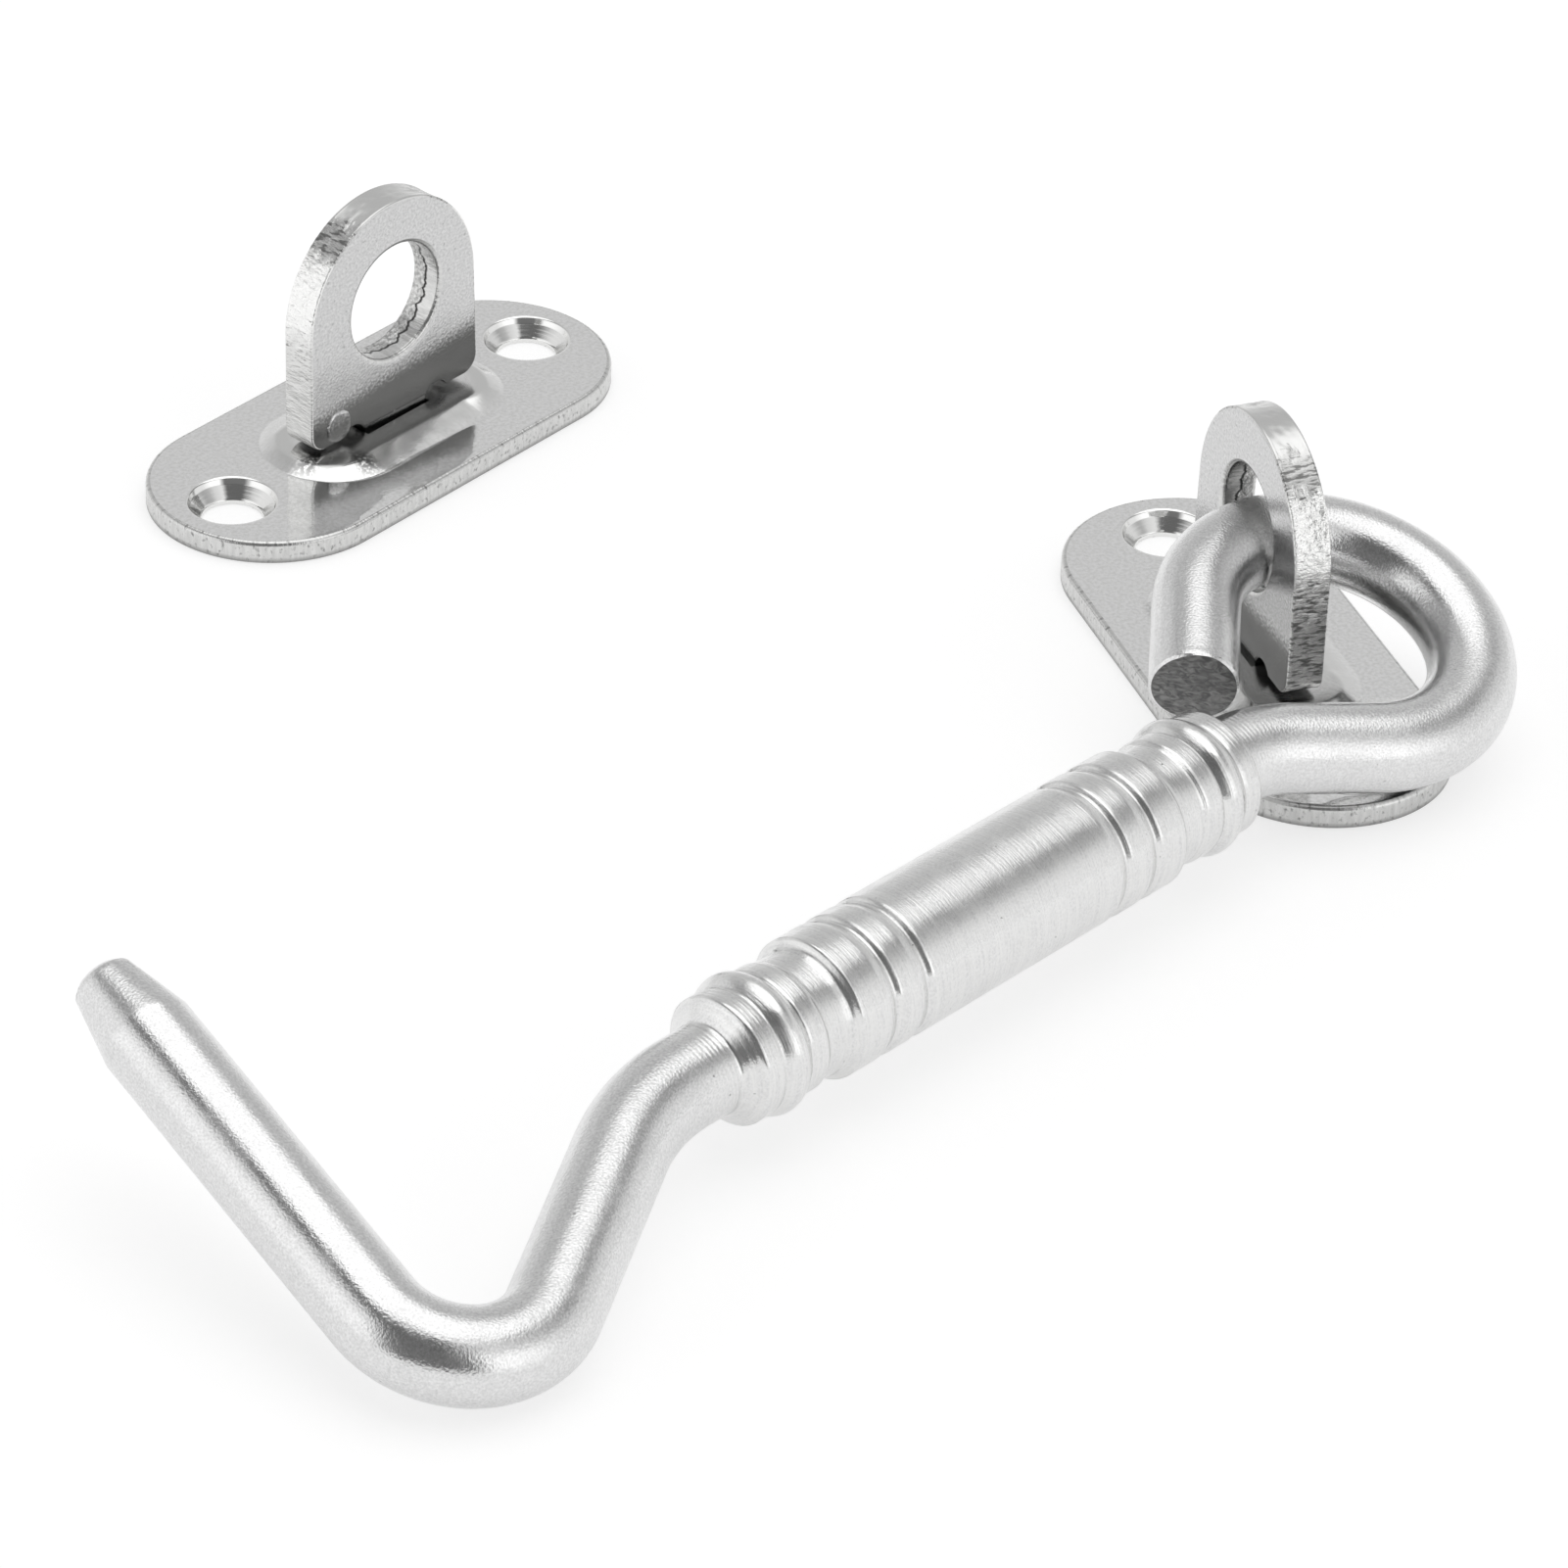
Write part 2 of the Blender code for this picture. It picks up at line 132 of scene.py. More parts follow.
class Skin:
    """Patches of points in rows and columns that together close one piece."""

    def __init__(self):
        self.points, self.quads, self.uvs, self.slots, self.count = [], [], [], [], 0

    def patch(self, grid, uv, slot=0):
        """Adds a grid of points with its UV in millimetres."""
        rows, columns = grid.shape[:2]
        index = self.count + np.arange(rows * columns).reshape(rows, columns)
        quads = np.stack([index[:-1, :-1], index[:-1, 1:], index[1:, 1:], index[1:, :-1]], -1).reshape(-1, 4)
        self.points.append(grid.reshape(-1, 3))
        self.quads.append(quads)
        self.uvs.append(uv.reshape(-1, 2))
        self.slots.append(np.full(len(quads), slot))
        self.count += rows * columns

    def piece(self, name, replaced, body, materials):
        """Welds the patches, turns their faces outwards and hands the piece to the frame."""
        points = np.concatenate(self.points) * MM
        quads, uvs = np.concatenate(self.quads), np.concatenate(self.uvs)
        mesh = bpy.data.meshes.new(name)
        mesh.from_pydata(points.tolist(), [], quads.tolist())
        layer = mesh.uv_layers.new(name="mm")
        layer.data.foreach_set("uv", uvs[quads.ravel()].ravel())
        mesh.polygons.foreach_set("material_index", np.concatenate(self.slots).astype(np.int32))
        bm = bmesh.new()
        bm.from_mesh(mesh)
        bmesh.ops.remove_doubles(bm, verts=bm.verts, dist=weld_distance)
        bmesh.ops.recalc_face_normals(bm, faces=bm.faces)
        bm.to_mesh(mesh)
        bm.free()
        mesh.shade_smooth()
        mesh.set_sharp_from_angle(angle=math.radians(sharp_angle))
        made = bpy.data.objects.new(name, mesh)
        bpy.context.collection.objects.link(made)
        for material in materials:
            mesh.materials.append(material)
        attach(made, body)
        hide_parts(replaced)
        return made


# Plates

def plate_skin(centre, angle):
    """One plate, as patches of rows of points.

    Each point of a row is a place on the plate's middle line, plus a distance along the direction away
    from it. For the wall that distance is the plate's half width, drawn in by an arc at the top and at the
    foot. At both ends the rows run straight from the outline in to the sink, then round its rolled rim,
    down its cone and through the bore. In the middle they run over the boss, whose height is the running
    sum of its slope, then down the slot, under the ceiling of the pocket and out to the foot.
    """
    skin = Skin()

    def lay(grid, uv, slot=0):
        world = turn(grid, angle) + np.array([centre[0], centre[1], 0.0])
        skin.patch(world, uv, slot)

    arc = np.radians(np.linspace(-90.0, 90.0, end_steps))
    along = np.linspace(cut_line, -cut_line, side_steps)
    # Each point of the outline is a place on the plate's middle line and a direction away from it
    spine = np.concatenate([np.full(end_steps, cut_line), along, np.full(end_steps, -cut_line), along[::-1]])
    out_x = np.concatenate([np.cos(arc), along * 0.0, -np.cos(arc), along * 0.0])
    out_y = np.concatenate([np.sin(arc), along * 0.0 + 1.0, -np.sin(arc), along * 0.0 - 1.0])

    def outline(radius, height):
        ring = np.stack([spine + radius * out_x, radius * out_y, spine * 0.0 + height], -1)
        return np.concatenate([ring, ring[:1]])

    roll = np.radians(np.linspace(0.0, 90.0, 7))
    flat = half_width - edge_round
    wall = [(flat + edge_round * math.sin(a), thickness - edge_round * (1.0 - math.cos(a))) for a in roll]
    wall += [(half_width, height) for height in np.linspace(thickness - edge_round, back_round, 6)[1:]]
    for a in roll[2::2]:
        wall.append((half_width - back_round * (1.0 - math.cos(a)), back_round * (1.0 - math.sin(a))))
    wall = np.stack([outline(*row) for row in wall])
    # The wall's UV is the way round the plate, far from the flats' own UV, and the height
    around = np.concatenate([[0.0], np.cumsum(np.hypot(*np.diff(wall[6, :, :2], axis=0).T))])
    lay(wall, np.stack([np.broadcast_to(around, wall.shape[:2]) + 100.0, wall[..., 2]], -1), 1)

    def middle_line(radius, height):
        """The rectangle between the two ends, as one closed loop."""
        across = np.linspace(-radius, radius, chord_steps)
        end = np.full(chord_steps, cut_line)
        x = np.concatenate([end, along, -end, along[::-1]])
        y = np.concatenate([across, along * 0.0 + radius, across[::-1], along * 0.0 - radius])
        return np.stack([x, y, x * 0.0 + height], -1)

    # The end patches: rows run from the outline and the cut line in to the screw hole
    # The sink is rolled over at its rim, drops a short wall, then is a cone down to the land of the bore
    sink = []
    for lift in np.radians(np.linspace(0.0, 75.0, 6)):
        rolled = sink_radius - sink_drop + sink_roll * (1.0 - math.sin(lift))
        sink.append((rolled, thickness - sink_drop * (1.0 - math.cos(lift))))
    cone_top = thickness - sink_drop - sink_wall
    for share in np.linspace(0.0, 1.0, 9):
        cone = cone_radius + (bore_radius - cone_radius) * share
        sink.append((cone, cone_top + (land - cone_top) * share))
    sink += [(bore_radius - 0.02, height) for height in (land - 0.06, 0.3, 0.15, 0.0)]
    for side in (1.0, -1.0):
        for radius, height, holes in ((flat, thickness, sink), (half_width - back_round, 0.0, sink[-1:])):
            curve = np.stack([cut_line + radius * np.cos(arc), radius * np.sin(arc)], -1)
            chord = np.stack([np.full(chord_steps, cut_line), np.linspace(radius, -radius, chord_steps)], -1)
            edge = np.concatenate([curve, chord[1:]])
            away = np.arctan2(edge[:, 1], edge[:, 0] - screw_place)
            rings = []
            for ring_radius, ring_height in holes:
                x = screw_place + ring_radius * np.cos(away)
                rings.append(np.stack([x, ring_radius * np.sin(away), away * 0.0 + ring_height], -1))
            edge = np.concatenate([edge, np.full((len(edge), 1), height)], -1)
            rows = np.concatenate([between(edge, rings[0], np.linspace(0.0, 1.0, 13)), np.stack(rings)[1:]])
            rows[..., 0] *= side
            lay(rows, rows[..., :2])

    # The middle patch: rows run from the rectangle over the boss, down the slot and out under the plate
    top = middle_line(flat, thickness)
    bottom = middle_line(half_width - back_round, 0.0)
    place = np.clip(top[:, 0], -boss_reach, boss_reach)
    away = top[:, :2] - np.stack([place, place * 0.0], -1)
    away /= np.linalg.norm(away, axis=1)[:, None]
    place /= boss_reach

    def ring(reach, side, height, squareness=0.0):
        swell = 1.0 + squareness * (1.0 / np.abs(away).max(1) - 1.0)
        x = place * reach + side * swell * away[:, 0]
        return np.stack([x, side * swell * away[:, 1], x * 0.0 + height], -1)

    foot_ring = ring(boss_reach, boss_side + 2.0 * boss_skirt, thickness)
    rows = list(between(top, foot_ring, np.linspace(0.0, 1.0, 7)))
    # The boss is pressed up with a short round at its foot, an even slope and a longer round at its shoulder
    share = np.linspace(0.0, 1.0, 200)
    slope = np.clip(share / boss_foot_round, 0.0, 1.0)
    slope *= np.clip((1.0 - share) / boss_shoulder_round, 0.0, 1.0)
    climb = np.cumsum(slope) / slope.sum()
    # The slope is shorter and so steeper round both ends
    tight = 1.0 - boss_end_shortening * np.clip(np.abs(away[:, 0]) / boss_end_turn, 0.0, 1.0)
    for inset in np.concatenate([np.linspace(-boss_skirt, 0.6, 8), np.linspace(0.75, boss_slope, 18)]):
        rise = boss_height * np.interp((inset + boss_skirt) / (boss_slope + boss_skirt), share, climb)
        rows.append(ring(boss_reach, boss_side - inset * tight, thickness + rise))
    crest = thickness + boss_height
    rim = ring(slot_reach, slot_side, crest, 1.0)
    rows += list(between(rows[-1], rim, np.linspace(0.0, 1.0, 8)))[1:-1]
    rows += [ring(slot_reach, slot_side, height, 1.0) for height in np.linspace(crest, pocket_ceiling, 5)]
    rows.append(ring(boss_reach, pocket_side - pocket_slope, pocket_ceiling))
    rows.append(ring(boss_reach, pocket_side, 0.0))
    rows += list(between(rows[-1], bottom, (0.5, 1.0)))
    rows = np.stack(rows)
    closed = np.concatenate([rows, rows[:, :1]], 1)
    lay(closed, closed[..., :2])
    return skin


# Eyes

def polyline(points, step):
    """Points every step along straight lines through the given corners."""
    out = [np.array(points[:1], float)]
    for first, last in zip(points, points[1:]):
        count = max(1, round(math.dist(first, last) / step))
        shares = np.arange(1, count + 1)[:, None] / count
        out.append(np.array(first) * (1.0 - shares) + np.array(last) * shares)
    return np.concatenate(out)


def arc_points(x, z, radius, start, stop, count):
    """Points on an arc in the eye's plane."""
    angles = np.radians(np.linspace(start, stop, count))
    return np.stack([x + radius * np.cos(angles), z + radius * np.sin(angles)], -1)


def eye_outline():
    """The lug from the crown down its right side and along its foot, then mirrored."""
    drop = math.sqrt(relief_radius ** 2 - relief_half ** 2)
    lean = math.degrees(math.asin(drop / relief_radius))
    relief_middle = tongue + relief_half
    right = [
        arc_points(0.0, 0.0, crown, 90.0, 0.0, 73),
        polyline([(crown, 0.0), (foot, foot_level + foot_corner)], 0.25)[1:],
        arc_points(foot - foot_corner, foot_level + foot_corner, foot_corner, 0.0, -90.0, 13)[1:],
        polyline([(foot - foot_corner, foot_level), (relief_middle + relief_half, foot_level)], 0.25)[1:],
        arc_points(relief_middle, foot_level - drop, relief_radius, lean, 180.0 - lean, 17)[1:],
        polyline([(tongue, foot_level), (0.0, foot_level)], 0.25)[1:],
    ]
    right = np.concatenate(right)
    left = right[::-1][1:-1] * np.array([-1.0, 1.0])
    return np.concatenate([right, left])


def eye_skin(centre, angle, eye_turn, eye_lean, hole_off, marked):
    """The lug, as rows of points that follow its outline, or circle its hole at the same angles.

    The edge's rows are the outline, drawn in by an arc at both faces. Between them it is sunk by smooth
    random values, times the square root of how near the row is to the middle. The faces are ruled straight
    from the edge to the rim of the hole, whose rows are circles that flare by an arc at both faces. The
    tongue's rows are circles pushed out towards a square, then scaled to its width and thickness, and the
    peened head below is part of an ellipse.
    """
    skin = Skin()
    outline = eye_outline()
    following, before = np.roll(outline, -1, 0), np.roll(outline, 1, 0)
    tangent = following - before
    out = np.stack([-tangent[:, 1], tangent[:, 0]], -1)
    out /= np.linalg.norm(out, axis=1)[:, None]
    length = np.concatenate([[0.0], np.cumsum(np.linalg.norm(np.roll(outline, -1, 0) - outline, axis=1))])
    away = np.arctan2(outline[:, 1], outline[:, 0])

    def lay(grid, uv, slot):
        grid = np.concatenate([grid, grid[:, :1]], 1) - np.array([0.0, 0.0, foot_level])
        c, s = math.cos(math.radians(eye_lean)), math.sin(math.radians(eye_lean))
        grid = grid @ np.array([[c, 0.0, -s], [0.0, 1.0, 0.0], [s, 0.0, c]])
        world = turn(grid, angle + eye_turn) + np.array([centre[0], centre[1], bore_height + foot_level])
        skin.patch(world, uv, slot)

    def solid(flat, depth):
        return np.stack([flat[:, 0], flat[:, 0] * 0.0 + depth, flat[:, 1]], -1)

    def circle(radius, depth):
        x, z = hole_off[0] + radius * np.cos(away), hole_off[1] + radius * np.sin(away)
        return solid(np.stack([x, z], -1), depth)

    roll = np.radians(np.linspace(0.0, 90.0, 5))
    # The edge: rounded at both faces, broken and uneven between them
    rows = []
    for a in roll:
        inset, depth = edge_break * (1.0 - math.sin(a)), eye_half - edge_break * (1.0 - math.cos(a))
        rows.append(solid(outline - inset * out, -depth))
    depths = np.linspace(-(eye_half - edge_break), eye_half - edge_break, 22)
    rows += [solid(outline, depth) for depth in depths[1:-1]]
    rows += [row * np.array([1.0, -1.0, 1.0]) for row in rows[4::-1]]
    rows = np.stack(rows)
    across = np.cumsum(np.concatenate([[0.0], np.linalg.norm(np.diff(rows[:, 10], axis=0), axis=1)]))
    worn = np.clip(1.0 - np.abs(rows[..., 1]) / (eye_half - edge_break), 0.0, 1.0) ** 0.5
    rough = edge_grain * noise(rows, 0.5, 3)
    rough = rough + edge_tears * noise(rows * np.array([1.0, 0.35, 1.0]), 0.9, 4)
    sink = (rough - edge_sink) * worn
    rows += sink[..., None] * np.stack([out[:, 0], out[:, 0] * 0.0, out[:, 1]], -1)
    # The edge's UV counts from the crown, with a minus on the left
    left = np.arange(len(length)) > len(length) // 2
    grid_u = np.broadcast_to(np.where(left, length - length[-1], length), (len(rows), len(length)))
    grid_v = np.broadcast_to(across[:, None], grid_u.shape)
    lay(rows, np.stack([grid_u, grid_v], -1), 1)
    # The faces, ruled from the edge in to the rim of the bore
    for side in (-1.0, 1.0):
        edge = rows[0] if side < 0.0 else rows[-1]
        rim = circle(hole + hole_roll, side * eye_half)
        face = between(edge, rim, np.linspace(0.0, 1.0, 15))
        closed = np.concatenate([face, face[:, :1]], 1)
        lay(face, np.stack([closed[..., 0], closed[..., 2]], -1), 0)
    # The bore
    bore = []
    for a in roll:
        depth = eye_half - hole_roll * (1.0 - math.cos(a))
        bore.append(circle(hole + hole_roll * (1.0 - math.sin(a)), -depth))
    depths = np.linspace(hole_roll - eye_half, eye_half - hole_roll, 16)
    bore += [circle(hole, depth) for depth in depths[1:-1]]
    bore += [row * np.array([1.0, -1.0, 1.0]) for row in bore[4::-1]]
    bore = np.stack(bore)
    turned = np.unwrap(np.append(away, away[0] - 2.0 * math.pi)) * hole
    bore_u = np.broadcast_to(turned, (len(bore), len(turned)))
    bore_v = np.broadcast_to(bore[:, 0, 1][:, None], bore_u.shape)
    lay(bore, np.stack([bore_u, bore_v], -1), 2)
    if marked:
        # A punch left a low ring with a dished middle
        turns = np.linspace(0.0, 2.0 * math.pi, 49)[:-1]
        rows = []
        for share, height in mark_profile:
            ring = mark_radius * np.stack([np.cos(turns), np.sin(turns)], -1) * max(share, 0.01)
            rows.append(solid(ring + np.array(mark_place), -eye_half - height))
        rows = np.stack(rows)
        closed = np.concatenate([rows, rows[:, :1]], 1)
        # Its UV is shifted up, so that the painted shade by the foot doesn't reach the raised ring
        lay(rows, np.stack([closed[..., 0], closed[..., 2] + mark_shift], -1), 0)
    # The tongue: its top is inside the lug and its peened head is domed
    base = np.linspace(0.0, 2.0 * math.pi, 65)[:-1]
    box = np.maximum(np.abs(np.cos(base)), np.abs(np.sin(base)))
    squared = 1.0 + tongue_squareness * (1.0 / box - 1.0)
    corner = np.stack([np.cos(base), np.sin(base)], -1) * squared[:, None]
    tongue_top = foot_level + tongue_overlap
    levels = [(0.02, 0.02, tongue_top), (tongue - tongue_inset, eye_half - tongue_inset, tongue_top)]
    levels.append((tongue - tongue_inset, eye_half - tongue_inset, head_top + head_overlap - bore_height))
    swell = np.radians(np.linspace(60.0, -90.0, 8))
    for a in swell:
        height = 0.5 * (head_top + head_bottom) + 0.5 * (head_top - head_bottom) * math.sin(a)
        shrink = 1.0 - 0.45 * (1.0 - math.cos(a)) if a < 0.0 else 1.0
        levels.append((head_half * shrink, eye_half * shrink, height - bore_height))
    levels.append((0.02, 0.02, head_bottom - bore_height))
    stem = np.stack([
        np.stack([x * corner[:, 0], y * corner[:, 1], base * 0.0 + z], -1) for x, y, z in levels
    ])
    closed = np.concatenate([stem, stem[:, :1]], 1)
    lay(stem, np.stack([closed[..., 0], closed[..., 2]], -1), 0)
    return skin


# Hook

def walk(segments, heading, places):
    """Place and heading at distances along straight runs and bends that follow each other."""
    spots = np.zeros((len(places), 2))
    headings = np.full(len(places), heading)
    start, here = 0.0, np.zeros(2)
    for size, angle in segments:
        length = size * math.radians(abs(angle)) if angle else size
        beyond = np.clip(places - start, 0.0, length)
        now = places >= start
        bend = math.copysign(1.0, angle) / size if angle else 0.0
        after = heading + beyond * bend
        if bend:
            shift = np.stack([np.sin(after) - math.sin(heading), math.cos(heading) - np.cos(after)], -1)
            shift /= bend
        else:
            shift = beyond[:, None] * np.array([math.cos(heading), math.sin(heading)])
        spots[now] = (here + shift)[now]
        headings[now] = after[now]
        final = heading + length * bend
        if bend:
            run = np.array([math.sin(final) - math.sin(heading), math.cos(heading) - math.cos(final)]) / bend
        else:
            run = length * np.array([math.cos(heading), math.sin(heading)])
        here = here + run
        heading, start = final, start + length
    return spots, headings


def path_length(segments):
    """Length of straight runs and bends."""
    return sum(size * math.radians(abs(angle)) if angle else size for size, angle in segments)


def barrel_radius(places):
    """Radius of the turned barrel: straight lines through its profile, a bead shaped as half a sine wave, and
    grooves shaped as lopsided notches, all blurred by a bell curve as wide as the corners a tool leaves.
    """
    fine = np.arange(-profile_reach, profile_reach, profile_step)
    reach = np.abs(fine)
    radius = np.interp(reach, *np.array(barrel_profile).T)
    bead = np.clip((reach - bead_start) / bead_width, 0.0, 1.0)
    radius += (barrel - collar + bead_excess) * np.sin(math.pi * bead ** bead_lean)
    for start in groove_starts:
        for first in (start, -start - groove_width):
            share = (fine - first) / groove_width
            inside = (share > 0.0) & (share < 1.0)
            depth = np.where(share < groove_low, share / groove_low, (1.0 - share) / (1.0 - groove_low))
            radius -= groove_depth * np.where(inside, depth, 0.0)
    tool = np.exp(-0.5 * (np.arange(-tool_steps, tool_steps + 1) * profile_step / tool_radius) ** 2)
    radius = np.convolve(np.pad(radius, tool_steps, mode="edge"), tool / tool.sum(), mode="valid")
    return np.interp(places, fine, radius)


def hook_skin():
    """The bar: rings of points square to its centre line from the tip to the cut end, and a flat at each end.

    The centre line is straight runs and circular bends. A point of a ring is the centre there, plus the
    radius there times the cosine of its angle sideways and the sine of its angle upwards. The radius comes
    from the barrel's profile and from straight tapers at both ends. The burr at the cut end is a bell curve
    round the ring, made uneven by smooth random values, that fades along the bar.
    """
    skin = Skin()
    to_tip, to_cut = path_length(crook_segments), path_length(loop_segments)
    places = np.concatenate([
        -to_tip + tip_edge * np.array([0.0, 0.3, 0.625, 1.0]),
        np.linspace(-to_tip + tip_edge, -to_tip + tip_taper, 14)[1:],
        np.arange(-to_tip + tip_taper + 0.2, -fine_reach, coarse_step),
        np.arange(-fine_reach, fine_reach, fine_step),
        np.arange(fine_reach, to_cut - cut_edge - 0.3, coarse_step),
        to_cut - cut_edge * np.array([1.0, 0.68, 0.32, 0.0]),
    ])
    crook = places < 0.0
    spots, headings = np.zeros((len(places), 2)), np.zeros(len(places))
    spots[crook], back = walk(crook_segments, math.pi, -places[crook])
    headings[crook] = back - math.pi
    spots[~crook], headings[~crook] = walk(loop_segments, 0.0, places[~crook])
    radius = barrel_radius(places)
    from_tip, from_cut = places + to_tip, to_cut - places
    taper = np.interp(from_tip, (0.0, tip_edge, tip_taper), (tip_radius - tip_edge, tip_radius, rod))
    radius = np.where(from_tip < tip_taper, taper, radius)
    radius = np.where(from_cut < cut_edge, rod - cut_edge + from_cut, radius)
    side = np.stack([-np.sin(headings), np.cos(headings), headings * 0.0], -1)
    middle = np.concatenate([spots, np.zeros((len(places), 1))], 1)
    sides = np.linspace(0.0, 2.0 * math.pi, bar_steps)
    wheel_side, wheel_up = np.cos(sides)[None, :, None], np.sin(sides)[None, :, None]
    arm = wheel_side * side[:, None] + wheel_up * np.array([0.0, 0.0, 1.0])
    # The shears left a small burr round the upper side of the cut end
    uneven = 0.6 + 0.4 * noise(np.stack([sides * rod, sides, sides], -1), 0.7, 9)
    burr = np.exp(-((sides - burr_angle) / burr_spread) ** 2) * uneven
    lip = burr_height * np.clip(1.0 - from_cut / burr_fade, 0.0, 1.0)[:, None] * burr[None]
    body = middle[:, None] + (radius[:, None] + lip)[..., None] * arm
    uv = np.stack(np.broadcast_arrays(sides[None] * rod, places[:, None]), -1)
    roll, pitch = math.radians(hook_roll), math.radians(-hook_pitch)
    spin = Matrix.Rotation(math.radians(hook_heading), 3, "Z")
    spin = np.array(spin @ Matrix.Rotation(pitch, 3, "Y") @ Matrix.Rotation(roll, 3, "X"))

    def lay(grid, uv, slot):
        skin.patch(grid @ spin.T + np.array(hook_place), uv, slot)

    lay(body, uv, 0)
    for index, slot in ((0, 1), (-1, 2)):
        shares = np.linspace(1.0, 0.0, 9)[:, None, None]
        disc = middle[index] + shares * (body[index] - middle[index])[None]
        reach = shares[..., 0] * radius[index]
        flat = np.stack([reach * np.cos(sides), reach * np.sin(sides)], -1)
        lay(disc, flat, slot)
    return skin


# Materials

def linear(code):
    """A hex colour as linear light."""
    parts = [int(code[i:i + 2], 16) / 255.0 for i in (0, 2, 4)]
    return tuple(p / 12.92 if p <= 0.04045 else ((p + 0.055) / 1.055) ** 2.4 for p in parts) + (1.0,)


def node(tree, kind, inputs=None, **settings):
    """Adds a node with its settings. An input is a value, a node whose first output feeds it, or a socket."""
    made = tree.nodes.new("ShaderNode" + kind)
    for name, value in settings.items():
        setattr(made, name, value)
    for name, value in (inputs or {}).items():
        if isinstance(value, bpy.types.Node):
            value = value.outputs[0]
        if isinstance(value, bpy.types.NodeSocket):
            tree.links.new(value, made.inputs[name])
        else:
            made.inputs[name].default_value = value
    return made


def blend(tree, share, first, last, kind="MIX"):
    """A colour from first, where share is 0, to last, or to the two mixed in another way, where it is 1."""
    mixed = node(tree, "Mix", {0: share, 6: first, 7: last}, data_type="RGBA", blend_type=kind)
    return mixed.outputs[2]


def new_metal(name, roughness):
    """A material with a metal shader, and the place on its surface in mm."""
    material = bpy.data.materials.new(name)
    material.use_nodes = True
    tree = material.node_tree
    tree.nodes.clear()
    shader = node(tree, "BsdfPrincipled", {"Metallic": 1.0, "Roughness": roughness})
    node(tree, "OutputMaterial", {"Surface": shader})
    place = node(tree, "UVMap", uv_map="mm")
    return material, tree, shader, place


def product(tree, first, second):
    """Two values multiplied."""
    return node(tree, "Math", {0: first, 1: second}, operation="MULTIPLY")


def pattern(tree, place, scale, detail, distortion=0.0):
    """Random cells on the surface. The scale is how many lie in a unit, or three such, one per direction."""
    if isinstance(scale, tuple):
        place, scale = node(tree, "VectorMath", {0: place, 1: scale}, operation="MULTIPLY"), 1.0
    inputs = {"Vector": place, "Scale": scale, "Detail": detail, "Distortion": distortion}
    return node(tree, "TexNoise", inputs)


def dent(tree, shader, height, depth):
    """Adds heights, in mm at a height of 1, to the shader's normal, over those that it has."""
    bump = node(tree, "Bump", {"Height": height, "Distance": depth * MM, "Strength": 1.0})
    if shader.inputs["Normal"].links:
        tree.links.new(shader.inputs["Normal"].links[0].from_socket, bump.inputs["Normal"])
    tree.links.new(bump.outputs[0], shader.inputs["Normal"])


